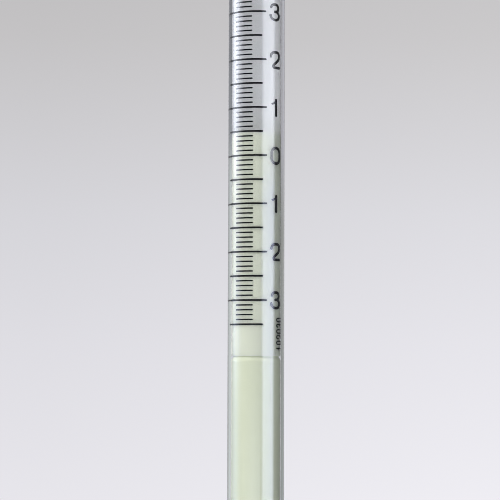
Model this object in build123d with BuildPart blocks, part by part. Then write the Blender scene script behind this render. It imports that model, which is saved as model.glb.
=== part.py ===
from build123d import *
from math import cos, pi, radians, sin, sqrt, tan
import os

os.makedirs("parts", exist_ok=True)

# Hydrometer for brewing and winemaking: a sealed glass float with a weighted bulb below it and a thin
# stem above it, which holds a paper scale. Lengths are millimetres. The origin is the bottom tip, +Z runs
# up the stem, and the scale faces -Y. Angles on the stem are degrees from that front, positive towards +X.

# ---- Driving dimensions ------------------------------------------------------------------------------
stem_radius = 3.0
stem_wall = 0.35
stem_above_zero = 40.0          # closed end of the stem above the zero line
stem_below_zero = 40.0          # start of the shoulder below the zero line

float_radius = 11.0
bulb_radius = 8.0               # ballast bulb at the bottom of the float
glass_wall = 0.9                # wall of the float and the bulb
bulb_height = 42.0              # tip to the corner where the bulb widens into the float
waist_slope = 30.0              # slope of the widening, degrees off the axis
shoulder_slope = 50.0           # slope of the narrowing below the stem, degrees off the axis
neck_bend = 5.0                 # outer radius where the shoulder turns into the stem
neck_straight = 0.5             # straight glass left above that bend, up to the stem's seal
float_bend = 9.0                # outer radius at both ends of the straight float
waist_bend = 6.0                # outer radius where the float turns into the bulb

unit_length = 5.08              # stem length of one whole unit
units_each_way = 3              # numbered units above and below zero, with a half more at each end
tenths_per_unit = 10
density_per_unit = 0.003875     # change of relative density over one unit
tenth_line_width = 0.145
long_line_width = 0.18          # the unit and half lines are printed bolder
ink_thickness = 0.02

sheet_clearance = 0.03          # between the scale sheet and the glass
paper_thickness = 0.10
sheet_top_margin = 14.0         # blank sheet above the highest line
sheet_bottom_margin = 3.3       # blank sheet below the lowest line
liner_top = 2.34                # top of the coloured liner above the zero line
liner_end_gap = 1.5             # between the liner and the start of the shoulder
liner_clearance = 0.02          # between the liner and the sheet round it
seam_gap = 4.0                  # degrees left open at the back of both rolls

tenth_span = (-49.5, -7.0)      # start and end of each line on the stem, degrees
half_span = (-73.0, 15.5)
unit_span = (-172.0, 24.7)
numeral_angle = 47.8
numeral_height = 1.92
numeral_width = 1.40
numeral_stroke = 0.26
lot_angle = 62.0
lot_digits_text = "102030"      # a neutral batch number
lot_height = 1.06
lot_width = 0.48
lot_stroke = 0.12
lot_pitch = 0.60
lot_centre = -18.80             # middle of the batch number below the zero line

cement_height = 0.9
cement_width = 0.4
cement_round = 0.16             # radius of the bead's edges
cement_clearance = 0.01
cement_span = (110.0, 250.0)

shot_radius = 1.5
shot_gap = 0.03
pouring_spots = 2400            # places across the bulb where a falling shot may come to rest
wax_cover = 1.6                 # wax above the highest shot
wax_soak = 3.4                  # how far the wax has run down between the shot
wax_clearance = 0.02            # between the wax and the glass
wax_shot_clearance = 0.005
meniscus_height = 0.8           # the wax climbs the glass by this much, over this width
meniscus_width = 1.28
meniscus_radius = 1.76

# Densities in grams per cubic millimetre
water_density = 0.000998
glass_density = 0.0025
steel_density = 0.00785
wax_density = 0.0011

# ---- Worked out from them ----------------------------------------------------------------------------
stem_bore = stem_radius - stem_wall
sheet_outer = stem_bore - sheet_clearance
sheet_inner = sheet_outer - paper_thickness
ink_outer = sheet_outer + ink_thickness
liner_outer = sheet_inner - liner_clearance
liner_inner = liner_outer - paper_thickness
bulb_bore = bulb_radius - glass_wall
waist_rise = (float_radius - bulb_radius) / tan(radians(waist_slope))
shoulder_rise = (float_radius - stem_radius) / tan(radians(shoulder_slope))
neck_run = neck_bend * tan(radians(shoulder_slope / 2)) + neck_straight
tenth = unit_length / tenths_per_unit
half_unit = tenths_per_unit // 2
wax_radius = bulb_bore - wax_clearance
displaced_volume = pi * stem_radius**2 * unit_length / density_per_unit


def float_solid(share, barrel_length):
    """Solid under the float's outer skin with share 0, or the solid that fills its hollow with share 1."""
    wall = share * glass_wall
    neck_wall = share * stem_wall
    float_corner = bulb_height + waist_rise
    shoulder_corner = float_corner + barrel_length
    neck_corner = shoulder_corner + shoulder_rise
    waist_shift = wall * tan(radians(waist_slope / 2))
    shoulder_shift = tan(radians(shoulder_slope / 2))
    top = neck_corner + neck_run
    with BuildPart() as solid:
        with BuildSketch(Plane.XZ):
            with BuildLine():
                skin = FilletPolyline(
                    (stem_radius - neck_wall, top),
                    (stem_radius - neck_wall, neck_corner - neck_wall * shoulder_shift),
                    (float_radius - wall, shoulder_corner - wall * shoulder_shift),
                    (float_radius - wall, float_corner + waist_shift),
                    (bulb_radius - wall, bulb_height + waist_shift),
                    (bulb_radius - wall, bulb_radius),
                    radius=[neck_bend + neck_wall, float_bend - wall, float_bend - wall, waist_bend + wall],
                )
                tip = CenterArc((0, bulb_radius), bulb_radius - wall, 0, -90)
                Polyline(tip @ 1, (0, top), skin @ 0)
            make_face()
        revolve(axis=Axis.Z)
    return solid.part


# The straight float is as long as it takes to displace what the scale calls for at the zero line.
trial_length = 50.0
trial_volume = float_solid(0, trial_length).volume + pi * stem_radius**2 * stem_below_zero
barrel_length = trial_length + (displaced_volume - trial_volume) / (pi * float_radius**2)
neck_top = bulb_height + waist_rise + barrel_length + shoulder_rise + neck_run
zero_height = neck_top + stem_below_zero
stem_top = zero_height + stem_above_zero
lowest_line = zero_height - (units_each_way + 0.5) * unit_length
highest_line = zero_height + (units_each_way + 0.5) * unit_length


def radial_plane(angle, height=0.0):
    """Plane through the axis at an angle on the stem: x runs outward and y runs up."""
    side = radians(angle)
    return Plane(origin=(0, 0, height), x_dir=(sin(side), -cos(side), 0), z_dir=(-cos(side), -sin(side), 0))


def facing_plane(angle, height, turned=False):
    """Plane through the axis that faces outward at an angle: x runs round the stem, or up it when turned."""
    side = radians(angle)
    reading = (0, 0, 1) if turned else (cos(side), sin(side), 0)
    return Plane(origin=(0, 0, height), x_dir=reading, z_dir=(sin(side), -cos(side), 0))


def paper_roll(outer, inner, bottom, top):
    """Rolled sheet of paper with its two edges almost meeting at the back."""
    with BuildPart() as roll:
        with BuildSketch(radial_plane(180 + seam_gap / 2)):
            with Locations(((outer + inner) / 2, (bottom + top) / 2)):
                Rectangle(outer - inner, top - bottom)
        revolve(axis=Axis.Z, revolution_arc=360 - seam_gap)
    return roll.part


def line_marks(steps, span, width):
    """Printed lines round the stem, each a whole number of tenths above or below zero."""
    start, end = span
    with BuildPart() as marks:
        for step in steps:
            with BuildSketch(radial_plane(start, zero_height + step * tenth)):
                with Locations((sheet_outer + ink_thickness / 2, 0)):
                    Rectangle(ink_thickness, width)
            revolve(axis=Axis.Z, revolution_arc=end - start)
    return marks.part


def draw_digit(digit, width, height, stroke):
    """One of the digits 0 to 3, centred on the sketch, as a pen of one width draws it."""
    half_w = (width - stroke) / 2
    half_h = (height - stroke) / 2
    if digit == 0:
        Ellipse(width / 2, height / 2)
        Ellipse(width / 2 - stroke, height / 2 - stroke, mode=Mode.SUBTRACT)
        return
    if digit == 3:
        waist = (0, half_h * 0.1)
        upper = ((-half_w * 0.8, half_h * 0.7), (half_w * 0.8, half_h * 0.55), waist)
        lower = (waist, (half_w, -half_h * 0.5), (-half_w, -half_h * 0.7))
        for bowl in (upper, lower):
            with BuildLine() as pen:
                ThreePointArc(*bowl)
            SlotArc(pen.wire(), stroke)
        return
    with BuildLine() as pen:
        if digit == 1:
            Polyline((-half_w * 0.7, half_h * 0.55), (0, half_h), (0, -half_h))
        else:
            crown = ThreePointArc((-half_w, half_h * 0.5), (0, half_h), (half_w, half_h * 0.5))
            Polyline(crown @ 1, (-half_w, -half_h), (half_w, -half_h))
    SlotArc(pen.wire(), stroke)


def ink_shell():
    """The thin printed layer round the scale sheet."""
    with BuildPart() as shell:
        with BuildSketch(Plane.XY.offset(neck_top)):
            Circle(ink_outer)
            Circle(sheet_outer, mode=Mode.SUBTRACT)
        extrude(amount=stem_top - neck_top)
    return shell.part


def poured_shot(count):
    """Centres of shot poured into the bulb one at a time, each in the lowest hollow that is left."""
    reach = bulb_bore - shot_radius - shot_gap
    spacing = 2 * shot_radius + shot_gap
    turn = pi * (3 - sqrt(5))
    distances = [reach * sqrt(spot / pouring_spots) for spot in range(pouring_spots)]
    spots = [(away * cos(spot * turn), away * sin(spot * turn)) for spot, away in enumerate(distances)]
    heights = [bulb_radius - sqrt(reach**2 - away**2) for away in distances]
    centres = []
    for _ in range(count):
        lowest = min(heights)
        x, y = spots[heights.index(lowest)]
        centres.append((x, y, lowest))
        for spot, (spot_x, spot_y) in enumerate(spots):
            room = spacing**2 - (spot_x - x) ** 2 - (spot_y - y) ** 2
            if room > 0:
                heights[spot] = max(heights[spot], lowest + sqrt(room))
    return centres


def save(piece, name):
    """Label a finished piece and write it as its own STEP file."""
    piece.part.label = name
    export_step(piece.part, f"parts/{name}.step")


# ---- Glass ---------------------------------------------------------------------------------------------
with BuildPart() as float_body:
    add(float_solid(0, barrel_length))
    add(float_solid(1, barrel_length), mode=Mode.SUBTRACT)
save(float_body, "float_body")

with BuildPart() as stem_tube:
    with BuildSketch(Plane.XY.offset(neck_top)):
        Circle(stem_radius)
    extrude(amount=stem_top - stem_radius - neck_top)
    with Locations((0, 0, stem_top - stem_radius)):
        Sphere(stem_radius)
    with BuildSketch(Plane.XY.offset(neck_top)):
        Circle(stem_bore)
    extrude(amount=stem_top - stem_radius - neck_top, mode=Mode.SUBTRACT)
    with Locations((0, 0, stem_top - stem_radius)):
        Sphere(stem_bore, mode=Mode.SUBTRACT)
save(stem_tube, "stem_tube")

# ---- Paper scale in the stem ---------------------------------------------------------------------------
sheet_bottom = lowest_line - sheet_bottom_margin
sheet_top = highest_line + sheet_top_margin
with BuildPart() as scale_sheet:
    add(paper_roll(sheet_outer, sheet_inner, sheet_bottom, sheet_top))
save(scale_sheet, "scale_sheet")

with BuildPart() as zone_liner:
    add(paper_roll(liner_outer, liner_inner, neck_top + liner_end_gap, zero_height + liner_top))
save(zone_liner, "zone_liner")

with BuildPart() as scale_cement:
    with BuildSketch(radial_plane(cement_span[0], sheet_top + cement_height / 2)):
        with Locations((stem_bore - cement_clearance - cement_width / 2, 0)):
            RectangleRounded(cement_width, cement_height, cement_round)
    revolve(axis=Axis.Z, revolution_arc=cement_span[1] - cement_span[0])
save(scale_cement, "scale_cement")

# ---- Printing on the sheet -----------------------------------------------------------------------------
last_step = units_each_way * tenths_per_unit + half_unit
steps = range(-last_step, last_step + 1)

with BuildPart() as unit_marks:
    add(line_marks([step for step in steps if step % tenths_per_unit == 0], unit_span, long_line_width))
save(unit_marks, "unit_marks")

with BuildPart() as half_marks:
    half_steps = [step for step in steps if step % tenths_per_unit == half_unit]
    add(line_marks(half_steps, half_span, long_line_width))
save(half_marks, "half_marks")

with BuildPart() as tenth_marks:
    add(line_marks([step for step in steps if step % half_unit != 0], tenth_span, tenth_line_width))
save(tenth_marks, "tenth_marks")

with BuildPart() as numerals:
    for unit in range(-units_each_way, units_each_way + 1):
        with BuildSketch(facing_plane(numeral_angle, zero_height + unit * unit_length)):
            draw_digit(abs(unit), numeral_width, numeral_height, numeral_stroke)
        extrude(amount=stem_radius)
    add(ink_shell(), mode=Mode.INTERSECT)
save(numerals, "numerals")

with BuildPart() as lot_digits:
    for place, digit in enumerate(lot_digits_text):
        along = (place - (len(lot_digits_text) - 1) / 2) * lot_pitch
        with BuildSketch(facing_plane(lot_angle, zero_height + lot_centre + along, turned=True)):
            draw_digit(int(digit), lot_width, lot_height, lot_stroke)
        extrude(amount=stem_radius)
    add(ink_shell(), mode=Mode.INTERSECT)
save(lot_digits, "lot_digits")

# ---- Ballast in the bulb -------------------------------------------------------------------------------
glass_mass = (float_body.part.volume + stem_tube.part.volume) * glass_density
wax_mass = pi * bulb_bore**2 * (wax_cover + wax_soak / 2) * wax_density
shot_mass = displaced_volume * water_density - glass_mass - wax_mass
shot_count = round(shot_mass / (4 / 3 * pi * shot_radius**3 * steel_density))
shot_centres = poured_shot(shot_count)
shot_top = max(centre[2] for centre in shot_centres) + shot_radius

with BuildPart() as ballast_shot:
    with Locations(*shot_centres):
        Sphere(shot_radius)
save(ballast_shot, "ballast_shot")

wax_bottom = shot_top - wax_soak
wax_top = shot_top + wax_cover
soaked = [centre for centre in shot_centres if centre[2] + shot_radius > wax_bottom]
with BuildPart() as ballast_wax:
    with BuildSketch(Plane.XZ):
        with BuildLine():
            rim = Line((wax_radius, wax_bottom), (wax_radius, wax_top + meniscus_height))
            hollow = RadiusArc(rim @ 1, (wax_radius - meniscus_width, wax_top), meniscus_radius)
            Polyline(hollow @ 1, (0, wax_top), (0, wax_bottom), rim @ 0)
        make_face()
    revolve(axis=Axis.Z)
    with Locations(*soaked):
        Sphere(shot_radius + wax_shot_clearance, mode=Mode.SUBTRACT)
save(ballast_wax, "ballast_wax")

# ---- Lengths that the two grips are stated from ----------------------------------------------------------
float_start = bulb_height + waist_rise + float_bend * tan(radians(waist_slope / 2))
float_end = bulb_height + waist_rise + barrel_length - float_bend * tan(radians(shoulder_slope / 2))
print(f"shot {shot_count}, zero line at {zero_height:.2f}, overall {stem_top:.2f}")
print(f"straight float from {float_start:.2f} to {float_end:.2f}")
print(f"straight stem from {neck_top:.2f} to {stem_top - stem_radius:.2f}")
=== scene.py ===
import math

import bmesh
import bpy
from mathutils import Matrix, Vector


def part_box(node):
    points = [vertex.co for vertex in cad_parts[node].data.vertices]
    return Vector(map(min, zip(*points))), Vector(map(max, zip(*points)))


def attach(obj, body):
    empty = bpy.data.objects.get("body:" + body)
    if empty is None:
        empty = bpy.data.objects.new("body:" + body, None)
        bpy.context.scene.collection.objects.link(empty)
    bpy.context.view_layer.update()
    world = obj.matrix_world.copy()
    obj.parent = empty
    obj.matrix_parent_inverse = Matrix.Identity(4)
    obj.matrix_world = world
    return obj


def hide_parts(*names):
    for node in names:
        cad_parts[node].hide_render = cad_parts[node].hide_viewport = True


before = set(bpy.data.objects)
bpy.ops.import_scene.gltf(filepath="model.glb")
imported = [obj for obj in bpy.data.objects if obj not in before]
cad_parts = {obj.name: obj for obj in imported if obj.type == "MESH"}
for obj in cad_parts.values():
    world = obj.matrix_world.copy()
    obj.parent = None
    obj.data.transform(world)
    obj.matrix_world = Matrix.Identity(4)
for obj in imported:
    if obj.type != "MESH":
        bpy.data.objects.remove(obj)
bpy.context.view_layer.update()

# ---- Sizes, in metres --------------------------------------------------------------------------------
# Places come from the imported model. The few sizes that its boxes don't give are named here.
mm = 0.001
stem_low, stem_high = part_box("stem_tube")
float_low, float_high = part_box("float_body")
sheet_low, sheet_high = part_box("scale_sheet")
liner_low, liner_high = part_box("zone_liner")
unit_low, unit_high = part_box("unit_marks")
wax_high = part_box("ballast_wax")[1]

stem_wall = 0.35 * mm
glass_wall = 0.9 * mm
wax_clearance = 0.02 * mm
stem_radius = stem_high.x
stem_bore = stem_radius - stem_wall
float_radius = float_high.x
bulb_bore = wax_high.x + wax_clearance
bulb_radius = bulb_bore + glass_wall
bulb_height = 42 * mm                   # where the bulb starts to widen into the float
waist_slope = math.radians(30)          # off the axis
shoulder_slope = math.radians(50)
neck_bend = 5 * mm
neck_straight = 0.5 * mm
neck_run = neck_bend * math.tan(shoulder_slope / 2) + neck_straight
float_bend = 9 * mm
waist_bend = 6 * mm

paper_thickness = 0.10 * mm
sheet_radius = sheet_high.x
liner_radius = liner_high.x
cut_wave = 0.02 * mm                    # how far the papers' cut edges wander
roll_wave = 0.004 * mm                  # how far a roll is from round
tuck_gap = 0.02 * mm                    # between the two layers of an overlap
sheet_overlap = 9.0                     # degrees past the back, on both sides
liner_overlap = 7.0
sheet_rows = 90
liner_rows = 220                        # more of them, for the dip at the sheet's edge
sheet_shade_height = 18 * mm                  # the sheet's colour is painted darker over this height above the liner, a painted shade
edge_shade_span = (-0.2 * mm, 0.1 * mm)     # across the sheet's lower edge, below which the liner's colour is painted darker, a painted shade

tenth_line_width = 0.145 * mm
long_line_width = 0.18 * mm             # the unit and half lines are printed bolder
ink_depth = 0.02 * mm
ink_radii = (sheet_radius - ink_depth, sheet_radius + ink_depth)
pressed_radii = (sheet_radius - ink_depth, stem_bore + 0.006 * mm)  # this ink shows in the glass's edge
units_each_way = 3
tenths_per_unit = 10
half_unit = tenths_per_unit // 2
last_line = units_each_way * tenths_per_unit + half_unit
zero = (unit_low.z + unit_high.z) / 2
unit_length = (unit_high.z - unit_low.z - long_line_width) / (2 * units_each_way)
tenth = unit_length / tenths_per_unit

# Angles round the stem are in degrees from the front of the scale, positive to the right.
tenth_span = (-49.5, -7.0)
half_span = (-73.0, 15.5)
unit_span = (-172.0, 24.7)
numeral_angle = 47.8
numeral_size = (1.40 * mm, 1.92 * mm)
numeral_pen = 0.28 * mm
lot_angle = 62.0
lot_size = (0.48 * mm, 1.06 * mm)
lot_pen = 0.13 * mm
lot_pitch = 0.60 * mm
lot_centre = zero - 18.80 * mm
lot_digits = "102030"
print_lay = -0.22 / mm                  # the sheet was rolled a little askew above its zero line

cement_span = (112.0, 248.0)
cement_half_width = 0.17 * mm
cement_half_height = 0.42 * mm


def lay_angle(height):
    """Degrees that the printing at a height has crept round the stem."""
    return print_lay * max(0.0, height - zero)


# ---- Mesh helpers ------------------------------------------------------------------------------------
def linked(mesh, name):
    """Turn a bmesh into an object of the scene."""
    data = bpy.data.meshes.new(name)
    mesh.to_mesh(data)
    mesh.free()
    piece = bpy.data.objects.new(name, data)
    bpy.context.scene.collection.objects.link(piece)
    return piece


def finished(mesh, name, smooth_angle=40):
    """Turn a bmesh into an object whose faces are smooth up to an angle."""
    bmesh.ops.remove_doubles(mesh, verts=mesh.verts, dist=1e-8)
    bmesh.ops.recalc_face_normals(mesh, faces=mesh.faces)
    limit = math.radians(smooth_angle)
    for face in mesh.faces:
        face.smooth = True
    for edge in mesh.edges:
        edge.smooth = len(edge.link_faces) == 2 and edge.calc_face_angle(0) < limit
    return linked(mesh, name)


def rounded_path(corners, radii, turn_step=math.radians(4)):
    """Points along straight runs joined by arcs, one radius for each inner corner."""
    apart = 1e-7
    corners = [Vector(corner) for corner in corners]
    path = [corners[0]]
    last = len(corners) - 2
    for index in range(1, last + 1):
        corner = corners[index]
        back = corners[index - 1] - corner
        on = corners[index + 1] - corner
        turn = math.pi - back.angle(on)
        room = min(back.length * (1 if index == 1 else 0.5), on.length * (1 if index == last else 0.5))
        reach = min(radii[index - 1] * math.tan(turn / 2), room)
        radius = reach / math.tan(turn / 2)
        back.normalize()
        on.normalize()
        centre = corner + (back + on).normalized() * radius / math.cos(turn / 2)
        from_centre = corner + back * reach - centre
        to_centre = corner + on * reach - centre
        steps = max(2, math.ceil(turn / turn_step))
        for step in range(steps + 1):
            part = step / steps * turn
            blend = from_centre * math.sin(turn - part) + to_centre * math.sin(part)
            path.append(centre + blend / math.sin(turn))
    path.append(corners[-1])
    kept = [path[0]]
    for point in path[1:]:
        if (point - kept[-1]).length > apart:
            kept.append(point)
    return kept


def lathe(mesh, profile, segments):
    """Turn a profile of (radius, height) points, whose ends lie on the axis, into a closed skin."""
    on_axis = 1e-7
    rings = []
    for point in profile:
        if point.x < on_axis:
            rings.append([mesh.verts.new((0, 0, point.y))])
            continue
        ring = []
        for step in range(segments):
            side = 2 * math.pi * step / segments
            ring.append(mesh.verts.new((point.x * math.sin(side), -point.x * math.cos(side), point.y)))
        rings.append(ring)
    for below, above in zip(rings, rings[1:]):
        for step in range(segments):
            after = (step + 1) % segments
            corners = [below[step % len(below)], below[after % len(below)]]
            corners += [above[after % len(above)], above[step % len(above)]]
            mesh.faces.new(dict.fromkeys(corners))      # a triangle where a ring is a single point


def on_stem(radius, angle, height):
    """Point at an angle in degrees from the front of the scale."""
    side = math.radians(angle)
    return Vector((radius * math.sin(side), -radius * math.cos(side), height))


def grid_shell(mesh, outer, inner):
    """Closed shell between two grids of points with the same rows and columns."""
    rows, columns = len(outer), len(outer[0])
    skins = [[[mesh.verts.new(point) for point in row] for row in grid] for grid in (outer, inner)]
    for skin in skins:
        for row in range(rows - 1):
            for column in range(columns - 1):
                mesh.faces.new((skin[row][column], skin[row][column + 1],
                                skin[row + 1][column + 1], skin[row + 1][column]))
    front, back = skins
    rim = [(0, column) for column in range(columns)]
    rim += [(row, columns - 1) for row in range(1, rows)]
    rim += [(rows - 1, column) for column in range(columns - 2, -1, -1)]
    rim += [(row, 0) for row in range(rows - 2, 0, -1)]
    for here, there in zip(rim, rim[1:] + rim[:1]):
        mesh.faces.new((front[here[0]][here[1]], front[there[0]][there[1]],
                        back[there[0]][there[1]], back[here[0]][here[1]]))


# ---- Glass -------------------------------------------------------------------------------------------
def glass_profile(share):
    """Half section of the glass: its outer skin with share 0, its hollow with share 1."""
    wall = share * glass_wall
    neck_wall = share * stem_wall
    waist_top = bulb_height + (float_radius - bulb_radius) / math.tan(waist_slope)
    neck_corner = stem_low.z - neck_run
    shoulder = neck_corner - (float_radius - stem_radius) / math.tan(shoulder_slope)
    waist_shift = wall * math.tan(waist_slope / 2)
    shoulder_shift = math.tan(shoulder_slope / 2)
    corners = [
        (0, float_low.z + wall),
        (bulb_radius - wall, float_low.z + wall),
        (bulb_radius - wall, bulb_height + waist_shift),
        (float_radius - wall, waist_top + waist_shift),
        (float_radius - wall, shoulder - wall * shoulder_shift),
        (stem_radius - neck_wall, neck_corner - neck_wall * shoulder_shift),
        (stem_radius - neck_wall, stem_high.z - neck_wall),
        (0, stem_high.z - neck_wall),
    ]
    radii = [bulb_radius - wall, waist_bend + wall, float_bend - wall, float_bend - wall,
             neck_bend + neck_wall, stem_radius - neck_wall]
    return rounded_path(corners, radii, math.radians(2.5))


def make_glass():
    """The whole envelope in one piece, as the flame has joined it."""
    segments = 224
    mesh = bmesh.new()
    lathe(mesh, glass_profile(0), segments)
    hollow = bmesh.new()
    lathe(hollow, glass_profile(1), segments)
    bmesh.ops.recalc_face_normals(hollow, faces=hollow.faces)
    bmesh.ops.recalc_face_normals(mesh, faces=mesh.faces)
    bmesh.ops.reverse_faces(hollow, faces=hollow.faces)
    inside = bpy.data.meshes.new("hollow")
    hollow.to_mesh(inside)
    hollow.free()
    mesh.from_mesh(inside)
    bpy.data.meshes.remove(inside)
    for face in mesh.faces:
        face.smooth = True
    return linked(mesh, "glass_envelope")


# ---- Paper -------------------------------------------------------------------------------------------
def rolled_paper(name, radius_at, low, high, overlap, rows):
    """Rolled sheet whose right edge tucks under its left edge at the back."""
    columns = 240
    start, end = -180.0 - overlap, 180.0 + overlap
    tuck = paper_thickness + tuck_gap
    wave_height = 3.1 * mm
    outer, inner = [], []
    for row in range(rows + 1):
        share = row / rows
        outer_row, inner_row = [], []
        for column in range(columns + 1):
            angle = start + (end - start) * column / columns
            turn = math.radians(angle)
            cut = cut_wave * (math.sin(3 * turn) + 0.6 * math.sin(7 * turn))
            height = low + (high - low) * share + cut * (1 - 2 * share)
            under = min(1.0, max(0.0, (angle - 180 + 2.2 * overlap) / (1.6 * overlap)))
            ease = under * under * (3 - 2 * under)
            wave = roll_wave * math.sin(5 * turn + height / wave_height)
            radius = radius_at(height) - tuck * ease + wave * (1 - ease) - roll_wave
            outer_row.append(on_stem(radius, angle, height))
            inner_row.append(on_stem(radius - paper_thickness, angle, height))
        outer.append(outer_row)
        inner.append(inner_row)
    mesh = bmesh.new()
    grid_shell(mesh, outer, inner)
    return finished(mesh, name)


def liner_radius_at(height):
    """The liner is held in by the sheet round it, dips at its edge and springs out to the glass below."""
    spring_height = 0.5 * mm
    dip_depth = 0.09 * mm
    below = (sheet_low.z - height) / spring_height
    part = min(1.0, max(0.0, below))
    dip = dip_depth * math.exp(-((below - 0.1) / 0.5) ** 2)
    return liner_radius + (sheet_radius - liner_radius) * part * part * (3 - 2 * part) - dip


# ---- Printing ----------------------------------------------------------------------------------------
def stroke(mesh, path, pen, place, closed=False):
    """Ink along a path of flat points, pen wide and with round ends.

    place puts a flat point on the sheet, at the ink's lower face for depth 0 and its upper face for 1.
    """
    half = pen / 2
    count = len(path)
    left, right = [], []
    for index, point in enumerate(path):
        before = path[index - 1] if closed or index else point
        after = path[(index + 1) % count] if closed or index < count - 1 else point
        along = (after - before).normalized()
        side = Vector((-along.y, along.x)) * half
        left.append(point + side)
        right.append(point - side)

    def cap(centre, rim):
        """Points of the half circle that starts from rim and turns clockwise."""
        reach = rim - centre
        turns = [math.pi * step / 8 for step in range(1, 8)]
        return [centre + Vector((reach.x * math.cos(turn) + reach.y * math.sin(turn),
                                 reach.y * math.cos(turn) - reach.x * math.sin(turn))) for turn in turns]

    def layer(points):
        """The lower and the upper row of corners over some flat points."""
        return [[mesh.verts.new(place(point, depth)) for point in points] for depth in (0, 1)]

    lefts, rights = layer(left), layer(right)
    pairs = range(count) if closed else range(count - 1)
    for index in pairs:
        after = (index + 1) % count
        for depth in (0, 1):
            mesh.faces.new((lefts[depth][index], lefts[depth][after],
                            rights[depth][after], rights[depth][index]))
        for edge in (lefts, rights):
            mesh.faces.new((edge[0][index], edge[0][after], edge[1][after], edge[1][index]))
    if closed:
        return
    for end, rim, first, last in ((-1, left[-1], lefts, rights), (0, right[0], rights, lefts)):
        tips = layer(cap(path[end], rim))
        lower, upper = [[first[depth][end], *tips[depth], last[depth][end]] for depth in (0, 1)]
        mesh.faces.new(lower)
        mesh.faces.new(upper)
        for step in range(len(lower) - 1):
            mesh.faces.new((lower[step], lower[step + 1], upper[step + 1], upper[step]))


def line_marks(name, steps, span, width, radii):
    """Printed lines round the stem, each a whole number of tenths above or below zero."""
    mesh = bmesh.new()
    start, end = span
    length = math.radians(end - start) * sheet_radius
    count = max(12, int((end - start) / 1.5))
    run = [Vector((width / 2 + (length - width) * index / count, 0)) for index in range(count + 1)]
    for step in steps:
        height = zero + step * tenth
        lay = lay_angle(height)

        def place(point, depth):
            angle = start + lay + math.degrees(point.x / sheet_radius)
            return on_stem(radii[depth], angle, height + point.y)

        stroke(mesh, run, width, place)
    return finished(mesh, name)


def close_spaced(path, step=0.05 * mm):
    """The same path with points close enough together to lie round the roll."""
    spaced = [path[0]]
    for before, after in zip(path, path[1:]):
        count = max(1, math.ceil((after - before).length / step))
        spaced += [before.lerp(after, index / count) for index in range(1, count + 1)]
    return spaced


def digit_strokes(digit, half_w, half_h, pen):
    """Pen strokes of one of the digits 0 to 3, as (path, pen width, closed)."""
    tight_bend = pen * 0.55
    if digit == 0:
        straight = half_h - half_w
        turns = [math.pi * step / 24 for step in range(24)]
        crown = [Vector((half_w * math.cos(turn), straight + half_w * math.sin(turn))) for turn in turns]
        return [(crown + [-point for point in crown], pen, True)]
    if digit == 1:
        stem = [Vector((half_w * 0.12, half_h)), Vector((half_w * 0.12, -half_h))]
        flag = rounded_path([(-half_w * 0.8, half_h * 0.5), (-half_w * 0.2, half_h * 0.58),
                             (half_w * 0.12, half_h * 0.97)], [half_w * 0.8])
        return [(stem, pen, False), (flag, pen * 0.75, False)]
    if digit == 2:
        neck = rounded_path([(-half_w, half_h * 0.42), (-half_w, half_h), (half_w, half_h),
                             (half_w, half_h * 0.12), (-half_w, -half_h), (half_w, -half_h)],
                            [half_w, half_w, half_w * 1.1, tight_bend])
        return [(neck, pen, False)]
    middle = half_h * 0.06
    upper = rounded_path([(-half_w * 0.86, half_h * 0.62), (-half_w * 0.7, half_h), (half_w * 0.86, half_h),
                          (half_w * 0.86, middle), (-half_w * 0.05, middle)],
                         [half_w * 0.8, half_w * 0.9, half_w * 0.8])
    lower = rounded_path([(-half_w * 0.05, middle), (half_w, middle), (half_w, -half_h),
                          (-half_w * 0.9, -half_h), (-half_w, -half_h * 0.42)],
                         [half_w * 0.9, half_w, half_w])
    return [(upper, pen, False), (lower, pen, False)]


def print_digit(mesh, digit, size, pen, angle, height, turned=False):
    """One digit on the sheet, upright or turned to read upwards."""
    half_w, half_h = (size[0] - pen) / 2, (size[1] - pen) / 2

    def place(point, depth):
        across, up = (-point.y, point.x) if turned else (point.x, point.y)
        here = angle + lay_angle(height + up) + math.degrees(across / sheet_radius)
        return on_stem(ink_radii[depth], here, height + up)

    for path, width, closed in digit_strokes(digit, half_w, half_h, pen):
        if closed:
            stroke(mesh, close_spaced(path + path[:1])[:-1], width, place, True)
        else:
            stroke(mesh, close_spaced(path), width, place)


def make_numerals():
    """The numbers beside the unit lines, which count up both ways from zero."""
    mesh = bmesh.new()
    for unit in range(-units_each_way, units_each_way + 1):
        print_digit(mesh, abs(unit), numeral_size, numeral_pen, numeral_angle, zero + unit * unit_length)
    return finished(mesh, "scale_numerals")


def make_lot_digits():
    """The batch number, which reads upwards near the foot of the sheet."""
    mesh = bmesh.new()
    for place, digit in enumerate(lot_digits):
        height = lot_centre + (place - (len(lot_digits) - 1) / 2) * lot_pitch
        print_digit(mesh, int(digit), lot_size, lot_pen, lot_angle, height, turned=True)
    return finished(mesh, "lot_number")


# ---- Ballast and cement ------------------------------------------------------------------------------
def make_wax():
    """The wax plug as cast, widened at its rim so that it wets the glass all round."""
    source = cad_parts["ballast_wax"].data
    mesh = bmesh.new()
    mesh.from_mesh(source)
    bmesh.ops.remove_doubles(mesh, verts=mesh.verts, dist=1e-7)
    rim_depth = 0.03 * mm
    bite = 0.012 * mm
    rim = wax_high.x - rim_depth
    wetting = (bulb_bore + bite) / wax_high.x
    for vert in mesh.verts:
        if math.hypot(vert.co.x, vert.co.y) > rim:
            vert.co.x *= wetting
            vert.co.y *= wetting
    return finished(mesh, "wax_plug", 35)


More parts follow.
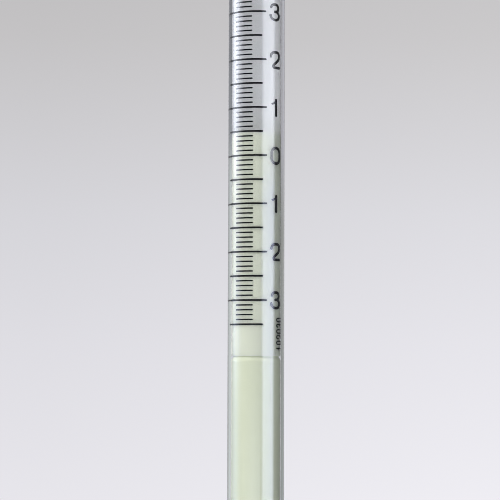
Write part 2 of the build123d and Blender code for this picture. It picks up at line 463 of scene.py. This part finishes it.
def make_cement():
    """Bead of adhesive along the sheet's upper edge at the back, thicker in its middle."""
    mesh = bmesh.new()
    start, end = cement_span
    count, sides = 96, 20
    bite = 0.01 * mm
    lift, drift = 0.12 * mm, 0.10 * mm
    rings = []
    for index in range(count + 1):
        share = index / count
        angle = start + (end - start) * share
        swell = 0.35 + 0.65 * math.sin(math.pi * share) ** 0.5 + 0.08 * math.sin(share * 23)
        half_w = cement_half_width * min(1.0, swell)
        half_h = cement_half_height * swell
        centre_r = stem_bore + bite - half_w
        centre_z = sheet_high.z + lift + drift * math.sin(share * 9)
        ring = []
        for step in range(sides):
            turn = 2 * math.pi * step / sides
            ring.append(mesh.verts.new(on_stem(centre_r + half_w * math.cos(turn), angle,
                                               centre_z + half_h * math.sin(turn))))
        rings.append(ring)
    for here, there in zip(rings, rings[1:]):
        for step in range(sides):
            after = (step + 1) % sides
            mesh.faces.new((here[step], here[after], there[after], there[step]))
    mesh.faces.new(rings[0])
    mesh.faces.new(rings[-1])
    return finished(mesh, "cement_bead", 60)


# ---- Materials ---------------------------------------------------------------------------------------
def material(name):
    """New material, its node tree and its output node, which is all that the tree holds."""
    made = bpy.data.materials.new(name)
    made.use_nodes = True
    tree = made.node_tree
    tree.nodes.clear()
    return made, tree, tree.nodes.new("ShaderNodeOutputMaterial")


def node(tree, kind, inputs=None, **settings):
    """Add a node, with its settings and with inputs given as numbers, colours or outputs to link."""
    added = tree.nodes.new(kind)
    for key, value in settings.items():
        setattr(added, key, value)
    for key, value in (inputs or {}).items():
        socket = added.inputs[key]
        if isinstance(value, bpy.types.NodeSocket):
            tree.links.new(value, socket)
        else:
            socket.default_value = value
    return added


def noise(tree, scale, detail=4.0, stretch=(1, 1, 1), roughness=0.55):
    """Noise in the object's own space, scale per metre, drawn out along an axis by stretch."""
    where = node(tree, "ShaderNodeTexCoord")
    spread = node(tree, "ShaderNodeMapping", {"Vector": where.outputs["Object"], "Scale": stretch})
    return node(tree, "ShaderNodeTexNoise", {"Vector": spread.outputs["Vector"], "Scale": scale,
                                             "Detail": detail, "Roughness": roughness}).outputs["Fac"]


def ramp(tree, fac, stops):
    """Colour ramp with stops of (position, colour)."""
    made = node(tree, "ShaderNodeValToRGB", {"Fac": fac})
    band = made.color_ramp
    while len(band.elements) < len(stops):
        band.elements.new(0.5)
    for element, (position, colour) in zip(band.elements, stops):
        element.position = position
        element.color = (*colour, 1)
    return made.outputs["Color"]


def span(tree, value, low, high):
    """Map 0 to 1 onto low to high."""
    return node(tree, "ShaderNodeMapRange", {"Value": value, "To Min": low, "To Max": high}).outputs["Result"]


def bump(tree, height, strength, distance):
    """Normal that follows a height field."""
    return node(tree, "ShaderNodeBump", {"Height": height, "Strength": strength,
                                         "Distance": distance}).outputs["Normal"]


def glass_material():
    """Clear drawn glass: faint lines along the draw, and a little breath on the surface."""
    made, tree, output = material("drawn_glass")
    draw = noise(tree, 2600, 3.0, (1, 1, 0.012))
    breath = noise(tree, 320, 5.0, (1, 1, 0.6))
    shell = node(tree, "ShaderNodeBsdfPrincipled", {
        "Base Color": (0.99, 0.993, 0.995, 1),
        "Roughness": span(tree, breath, 0.0, 0.035),
        "IOR": 1.5,
        "Transmission Weight": 1.0,
        "Normal": bump(tree, draw, 0.06, 0.02 * mm),
    })
    clear = node(tree, "ShaderNodeBsdfTransparent", {"Color": (0.975, 0.976, 0.985, 1)})
    path = node(tree, "ShaderNodeLightPath")
    lit = node(tree, "ShaderNodeMixShader", {0: path.outputs["Is Diffuse Ray"], 1: shell.outputs[0],
                                             2: clear.outputs[0]})
    out = node(tree, "ShaderNodeMixShader", {0: path.outputs["Is Shadow Ray"], 1: lit.outputs[0],
                                             2: clear.outputs[0]})
    tree.links.new(out.outputs[0], output.inputs["Surface"])
    return made


def paper_material(name, light, dark, through, shade_heights, shade_factors):
    """Thin sized paper: mottled fibres, a faint sheen, and a share of light that comes through from behind.

    Its colour is scaled by the first of the shade factors below the first of the heights, and by the second
    above the second: a painted shade that darkens the paper towards one end.
    """
    made, tree, output = material(name)
    fibre = noise(tree, 9000, 6.0, (1, 1, 0.45), 0.65)
    cloud = noise(tree, 1100, 3.0)
    tone = node(tree, "ShaderNodeMix", {"Factor": 0.35, "A": fibre, "B": cloud}, data_type="FLOAT")
    mottled = ramp(tree, tone.outputs["Result"], [(0.3, dark), (0.7, light)])
    where = node(tree, "ShaderNodeTexCoord").outputs["Object"]
    place = node(tree, "ShaderNodeSeparateXYZ", {"Vector": where})
    # Painted shade: the colour is darkened along the height.
    scale = node(tree, "ShaderNodeMapRange", {"Value": place.outputs["Z"], "From Min": shade_heights[0],
                                              "From Max": shade_heights[1], "To Min": shade_factors[0], "To Max": shade_factors[1]})
    colour = node(tree, "ShaderNodeVectorMath", {0: mottled, "Scale": scale.outputs["Result"]},
                  operation="SCALE").outputs["Vector"]
    grain = bump(tree, fibre, 0.25, 0.01 * mm)
    face = node(tree, "ShaderNodeBsdfPrincipled", {
        "Base Color": colour, "Roughness": 0.75, "Specular IOR Level": 0.25, "Normal": grain})
    glow = node(tree, "ShaderNodeBsdfTranslucent", {"Color": colour, "Normal": grain})
    matt = node(tree, "ShaderNodeMixShader", {0: through, 1: face.outputs[0], 2: glow.outputs[0]})
    sheen = node(tree, "ShaderNodeBsdfPrincipled", {
        "Base Color": (1.0, 1.0, 1.0, 1.0), "Metallic": 1.0, "Roughness": 0.3, "Normal": grain})
    grazing = node(tree, "ShaderNodeFresnel", {"IOR": 1.58}).outputs[0]
    from_behind = node(tree, "ShaderNodeNewGeometry").outputs["Backfacing"]
    share = node(tree, "ShaderNodeMapRange", {"Value": from_behind, "To Min": grazing, "To Max": 0.0})
    both = node(tree, "ShaderNodeMixShader", {0: share.outputs[0], 1: matt.outputs[0], 2: sheen.outputs[0]})
    tree.links.new(both.outputs[0], output.inputs["Surface"])
    return made


def ink_material():
    """Printed black: dense, a little uneven where the paper drank it."""
    made, tree, output = material("printing_ink")
    uneven = noise(tree, 12000, 4.0)
    colour = ramp(tree, uneven, [(0.35, (0.006, 0.006, 0.007)), (0.75, (0.022, 0.022, 0.024))])
    face = node(tree, "ShaderNodeBsdfPrincipled", {
        "Base Color": colour, "Roughness": span(tree, uneven, 0.55, 0.8), "Specular IOR Level": 0.3,
        "Normal": bump(tree, uneven, 0.2, 0.005 * mm)})
    tree.links.new(face.outputs[0], output.inputs["Surface"])
    return made


def shot_material():
    """Steel shot: each ball its own shade of dull grey, with tumbling marks and a trace of oil."""
    made, tree, output = material("steel_shot")
    ball = node(tree, "ShaderNodeNewGeometry").outputs["Random Per Island"]
    shade = ramp(tree, ball, [(0.0, (0.30, 0.30, 0.31)), (0.6, (0.46, 0.46, 0.47)),
                              (1.0, (0.58, 0.57, 0.55))])
    pits = noise(tree, 5200, 5.0)
    face = node(tree, "ShaderNodeBsdfPrincipled", {
        "Base Color": shade, "Metallic": 1.0, "Roughness": span(tree, pits, 0.22, 0.42),
        "Normal": bump(tree, pits, 0.18, 0.01 * mm)})
    tree.links.new(face.outputs[0], output.inputs["Surface"])
    return made


def wax_material():
    """Brick-red sealing wax, slightly see-through at thin edges."""
    made, tree, output = material("sealing_wax")
    cloud = noise(tree, 420, 4.0)
    fine = noise(tree, 2600, 4.0)
    colour = ramp(tree, cloud, [(0.3, (0.20, 0.028, 0.016)), (0.7, (0.34, 0.055, 0.028))])
    face = node(tree, "ShaderNodeBsdfPrincipled", {
        "Base Color": colour, "Roughness": span(tree, fine, 0.28, 0.5),
        "Subsurface Weight": 0.15, "Subsurface Radius": (1.0, 0.25, 0.15), "Subsurface Scale": 0.6 * mm,
        "Normal": bump(tree, fine, 0.3, 0.03 * mm)})
    tree.links.new(face.outputs[0], output.inputs["Surface"])
    return made


def cement_material():
    """Dried amber adhesive."""
    made, tree, output = material("amber_cement")
    cloud = noise(tree, 2600, 4.0)
    colour = ramp(tree, cloud, [(0.3, (0.52, 0.33, 0.10)), (0.7, (0.68, 0.48, 0.20))])
    face = node(tree, "ShaderNodeBsdfPrincipled", {
        "Base Color": colour, "Roughness": span(tree, cloud, 0.2, 0.4),
        "Subsurface Weight": 0.3, "Subsurface Radius": (1.0, 0.7, 0.3), "Subsurface Scale": 0.3 * mm,
        "Normal": bump(tree, cloud, 0.2, 0.02 * mm)})
    tree.links.new(face.outputs[0], output.inputs["Surface"])
    return made


def dress(piece, finish, slot, *nodes):
    """Give a piece its finish, attach it to the root and hide the CAD nodes that it stands for; slot is not
    used.
    """
    piece.data.materials.clear()
    piece.data.materials.append(finish)
    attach(piece, "root")
    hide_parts(*nodes)


ink = ink_material()
dress(make_glass(), glass_material(), "glass", "stem_tube", "float_body")
# The sheet's colour is painted darker upwards above the liner, a painted shade.
dress(rolled_paper("paper_scale", lambda height: sheet_radius, sheet_low.z, sheet_high.z,
                   sheet_overlap, sheet_rows),
      paper_material("scale_paper", (1.0, 1.0, 1.0), (0.985, 0.985, 0.99), 0.95,
                     (liner_high.z, liner_high.z + sheet_shade_height), (1.0, 0.95)),
      "scale_paper", "scale_sheet")
# Below the sheet's edge the liner's colour is painted darker, a painted shade.
dress(rolled_paper("green_liner", liner_radius_at, liner_low.z, liner_high.z, liner_overlap, liner_rows),
      paper_material("green_paper", (0.765, 0.805, 0.61), (0.715, 0.755, 0.56), 0.06,
                     (sheet_low.z + edge_shade_span[0], sheet_low.z + edge_shade_span[1]), (0.935, 1.0)),
      "liner_paper", "zone_liner")

all_steps = range(-last_line, last_line + 1)
unit_steps = [step for step in all_steps if step % tenths_per_unit == 0]
half_steps = [step for step in all_steps if step % tenths_per_unit == half_unit]
tenth_steps = [step for step in all_steps if step % half_unit != 0]
dress(line_marks("unit_lines", unit_steps, unit_span, long_line_width, pressed_radii),
      ink, "ink", "unit_marks")
dress(line_marks("half_lines", half_steps, half_span, long_line_width, pressed_radii),
      ink, "ink", "half_marks")
dress(line_marks("tenth_lines", tenth_steps, tenth_span, tenth_line_width, ink_radii),
      ink, "ink", "tenth_marks")
dress(make_numerals(), ink, "ink", "numerals")
dress(make_lot_digits(), ink, "ink", "lot_digits")
dress(make_wax(), wax_material(), "wax", "ballast_wax")
dress(make_cement(), cement_material(), "cement", "scale_cement")

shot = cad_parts["ballast_shot"]
shot.data.materials.clear()
shot.data.materials.append(shot_material())

# ---- Camera ------------------------------------------------------------------------------------------
eye_height = zero - 22.45 * mm
eye_distance = 224 * mm
lens_length = 152.25                    # in millimetres, on a sensor 36 mm wide
sensor_width = 36.0
tilt_up = 3.221                         # degrees
tilt_left = 0.1572
roll = -0.16

camera_data = bpy.data.cameras.new("camera")
camera = bpy.data.objects.new("camera", camera_data)
bpy.context.scene.collection.objects.link(camera)
bpy.context.scene.camera = camera
camera_data.sensor_width = sensor_width
camera_data.lens = lens_length
camera_data.clip_start = 0.01
camera_data.clip_end = 50
camera.location = (0, -eye_distance, eye_height)
camera.rotation_euler = (math.radians(90 + tilt_up), math.radians(roll), math.radians(tilt_left))

# ---- Studio ------------------------------------------------------------------------------------------
aim = Vector((0, 0, eye_height))
black = (0.0, 0.0, 0.0)


def grey(level):
    """Neutral colour of a brightness."""
    return (level, level, level)


def around(azimuth, elevation, distance):
    """Point seen from the aim at an azimuth in degrees, 0 towards the camera and positive to its right."""
    side, rise = math.radians(azimuth), math.radians(elevation)
    return aim + distance * Vector((math.sin(side) * math.cos(rise), -math.cos(side) * math.cos(rise),
                                    math.sin(rise)))


def soft_light(name, azimuth, elevation, distance, width, height, radiance, colour=(1, 1, 1)):
    """Rectangular soft light that faces the stem, and that no reflection or glass shows."""
    data = bpy.data.lights.new(name, "AREA")
    data.shape = "RECTANGLE"
    data.size = width
    data.size_y = height
    data.energy = radiance * math.pi * width * height
    data.color = colour
    light = bpy.data.objects.new(name, data)
    light.location = around(azimuth, elevation, distance)
    light.rotation_euler = (light.location - aim).to_track_quat("Z", "Y").to_euler()
    light.visible_camera = False
    light.visible_glossy = False
    light.visible_transmission = False
    bpy.context.scene.collection.objects.link(light)


def panel(name, foot, head, across, upward, mirrored):
    """Curved diffuser or card round the stem that shows only in reflections, and lights nothing matt.

    foot and head are the azimuths of its two sides at its lower and upper edge. across and upward are ramps
    of brightness over it. Without mirrored it shows only in reflections from inside the glass.
    """
    elevations = (-9, 22)
    distance = 0.8
    mesh = bmesh.new()
    chart = mesh.loops.layers.uv.new("chart")
    steps = 24
    grid = []
    for row in range(steps + 1):
        rise = row / steps
        elevation = elevations[0] + (elevations[1] - elevations[0]) * rise
        sides = [low + (high - low) * rise for low, high in zip(foot, head)]
        turns = [sides[0] + (sides[1] - sides[0]) * column / steps for column in range(steps + 1)]
        grid.append([mesh.verts.new(around(azimuth, elevation, distance)) for azimuth in turns])
    for row in range(steps):
        for column in range(steps):
            corners = [(row, column), (row, column + 1), (row + 1, column + 1), (row + 1, column)]
            face = mesh.faces.new([grid[up][along] for up, along in corners])
            for loop, (up, along) in zip(face.loops, corners):
                loop[chart].uv = (along / steps, up / steps)
    card = finished(mesh, name)
    made, tree, output = material(name + "_tone")
    where = node(tree, "ShaderNodeTexCoord").outputs["UV"]
    place = node(tree, "ShaderNodeSeparateXYZ", {"Vector": where})
    tint = ramp(tree, place.outputs["X"], across)
    fall = ramp(tree, place.outputs["Y"], upward)
    tone = node(tree, "ShaderNodeVectorMath", {0: tint, 1: fall}, operation="MULTIPLY")
    glow = node(tree, "ShaderNodeEmission", {"Color": tone.outputs["Vector"]})
    clear = node(tree, "ShaderNodeBsdfTransparent")
    path = node(tree, "ShaderNodeLightPath")
    straight = node(tree, "ShaderNodeMath", {0: path.outputs["Glossy Depth"], 1: 0.5},
                    operation="LESS_THAN")
    unseen = node(tree, "ShaderNodeMath", {0: path.outputs["Is Diffuse Ray"], 1: straight.outputs[0]},
                  operation="MAXIMUM")
    out = node(tree, "ShaderNodeMixShader", {0: unseen.outputs[0], 1: glow.outputs[0], 2: clear.outputs[0]})
    tree.links.new(out.outputs[0], output.inputs["Surface"])
    card.data.materials.append(made)
    card.visible_camera = False
    card.visible_diffuse = False
    card.visible_shadow = False
    card.visible_glossy = mirrored


def make_floor():
    """Pale round floor that fades into the backdrop at its rim."""
    fade_start, rim = 0.9, 2.0
    mesh = bmesh.new()
    bmesh.ops.create_circle(mesh, cap_ends=True, segments=96, radius=rim)
    floor = finished(mesh, "floor")
    made, tree, output = material("pale_floor")
    fine = noise(tree, 900, 4.0)
    broad = noise(tree, 3, 2.0)
    tone = node(tree, "ShaderNodeMix", {"Factor": 0.5, "A": fine, "B": broad}, data_type="FLOAT")
    colour = ramp(tree, tone.outputs["Result"], [(0.3, (0.66, 0.66, 0.68)), (0.7, (0.70, 0.70, 0.72))])
    face = node(tree, "ShaderNodeBsdfPrincipled", {"Base Color": colour, "Roughness": 0.7,
                                                  "Normal": bump(tree, fine, 0.08, 0.2 * mm)})
    where = node(tree, "ShaderNodeTexCoord")
    away = node(tree, "ShaderNodeVectorMath", {0: where.outputs["Object"]}, operation="LENGTH")
    fade = node(tree, "ShaderNodeMapRange", {"Value": away.outputs["Value"], "From Min": fade_start,
                                             "From Max": rim}, interpolation_type="SMOOTHSTEP")
    clear = node(tree, "ShaderNodeBsdfTransparent")
    out = node(tree, "ShaderNodeMixShader", {0: fade.outputs["Result"], 1: face.outputs[0],
                                             2: clear.outputs[0]})
    tree.links.new(out.outputs[0], output.inputs["Surface"])
    floor.data.materials.append(made)


def make_world():
    """Backdrop that lightens downwards, for what is seen, and a dimmer room for what is lit or reflected."""
    world = bpy.data.worlds.new("studio")
    bpy.context.scene.world = world
    world.use_nodes = True
    tree = world.node_tree
    tree.nodes.clear()
    output = node(tree, "ShaderNodeOutputWorld")
    way = node(tree, "ShaderNodeTexCoord").outputs["Generated"]
    parts = node(tree, "ShaderNodeSeparateXYZ", {"Vector": way})
    rise = node(tree, "ShaderNodeMapRange", {"Value": parts.outputs["Z"], "From Min": -0.06,
                                             "From Max": 0.30})
    drop = ramp(tree, rise.outputs["Result"], [
        (0.0, (0.83, 0.82, 0.865)), (0.2, (0.765, 0.757, 0.80)), (0.37, (0.695, 0.69, 0.725)),
        (0.6, (0.575, 0.565, 0.575)), (1.0, (0.44, 0.435, 0.445))])
    lean = node(tree, "ShaderNodeMapRange", {"Value": parts.outputs["X"], "From Min": -0.1, "From Max": 0.1,
                                             "To Min": 0.96, "To Max": 1.035})
    seen = node(tree, "ShaderNodeBackground", {"Color": drop, "Strength": lean.outputs["Result"]})
    behind = node(tree, "ShaderNodeMapRange", {"Value": parts.outputs["Y"], "From Min": -0.3, "From Max": 0.5,
                                               "To Min": 0.0, "To Max": 1.0})
    tint = ramp(tree, behind.outputs["Result"], [(0.0, (0.19, 0.21, 0.225)), (1.0, (0.57, 0.57, 0.60))])
    corner = node(tree, "ShaderNodeMath", {0: parts.outputs["X"], 1: behind.outputs["Result"]},
                  operation="MULTIPLY")
    shade = node(tree, "ShaderNodeMapRange", {"Value": corner.outputs[0], "From Min": 0.0, "From Max": 0.6,
                                              "To Min": 1.0, "To Max": 0.2})
    room = node(tree, "ShaderNodeBackground", {"Color": tint, "Strength": shade.outputs["Result"]})
    path = node(tree, "ShaderNodeLightPath")
    through = node(tree, "ShaderNodeMath", {0: path.outputs["Is Transmission Ray"],
                                            1: path.outputs["Is Diffuse Ray"]}, operation="SUBTRACT")
    direct = node(tree, "ShaderNodeMath", {0: path.outputs["Is Camera Ray"], 1: through.outputs[0]},
                  operation="MAXIMUM")
    both = node(tree, "ShaderNodeMixShader", {0: direct.outputs[0], 1: room.outputs[0], 2: seen.outputs[0]})
    tree.links.new(both.outputs[0], output.inputs["Surface"])


make_floor()
make_world()

# The two lights light the paper and the floor. The diffusers draw the bright bands down the stem, and the
# cards behind it show in the edges of its wall. Azimuths run from the left, brightness from each foot up.
soft_light("key", -43, 40, 1.2, 0.6, 0.6, 13.7, (1.0, 1.0, 0.97))
soft_light("fill", 72, 48, 0.45, 0.25, 0.25, 1.6)
panel("left_diffuser", (-125, -55), (-125, -55),
      [(0.0, black), (0.16, (0.38, 0.4, 0.46)), (0.33, (0.94, 1.0, 1.14)), (0.53, (0.94, 1.0, 1.14)),
       (0.72, (0.36, 0.38, 0.44)), (1.0, black)],
      [(0.0, (0.55, 0.65, 0.95)), (0.27, (0.7, 0.85, 1.2)), (0.36, (1.5, 1.6, 1.9)), (0.5, grey(2.0)),
       (0.56, grey(3.8)), (0.68, grey(4.9))], True)
panel("front_diffuser", (-60, 20), (-60, 20),
      [(0.0, grey(0.3)), (0.3, grey(0.6)), (0.6, grey(1)), (1.0, grey(1))],
      [(0.0, (1.4, 1.5, 1.7)), (0.2, (1.0, 1.1, 1.3)), (0.32, (0.3, 0.33, 0.4)), (0.5, black)], True)
panel("right_diffuser", (22, 127), (18, 136),
      [(0.0, black), (0.04, (0.8, 0.9, 1.1)), (0.1, (3.5, 3.7, 4.05)), (0.3, (4.0, 4.2, 4.6)),
       (0.485, (4.5, 4.7, 5.15)), (0.58, grey(0.04)), (1.0, grey(0.04))],
      [(0.14, (0.76, 0.79, 0.86)), (0.32, (0.84, 0.87, 0.97)), (0.42, (0.8, 0.83, 0.96)),
       (0.52, (0.69, 0.71, 0.85)), (0.56, grey(0.8)), (0.6, grey(0.92)), (0.68, grey(0.74))], True)
panel("left_card", (-178, -132), (-178, -132),
      [(0.0, grey(0.5)), (0.25, grey(0.64)), (0.5, grey(0.92)), (0.75, grey(1.08)), (1.0, grey(1.16))],
      [(0.0, (0.56, 0.60, 0.59)), (0.3, (0.53, 0.57, 0.56)), (0.52, (0.46, 0.50, 0.50)),
       (0.56, (0.24, 0.26, 0.28)), (0.65, (0.15, 0.16, 0.18))], False)
panel("right_card", (132, 178), (132, 178),
      [(0.0, grey(0.8)), (0.3, grey(1)), (0.6, grey(1.15)), (1.0, grey(1.6))],
      [(0.0, (0.34, 0.37, 0.37)), (0.45, (0.32, 0.33, 0.32)), (0.56, (0.46, 0.46, 0.50)),
       (1.0, (0.50, 0.50, 0.54))], False)

scene = bpy.context.scene
scene.view_settings.view_transform = "Standard"
scene.cycles.filter_width = 0.8        # crisp edges, as a sharp lens draws them
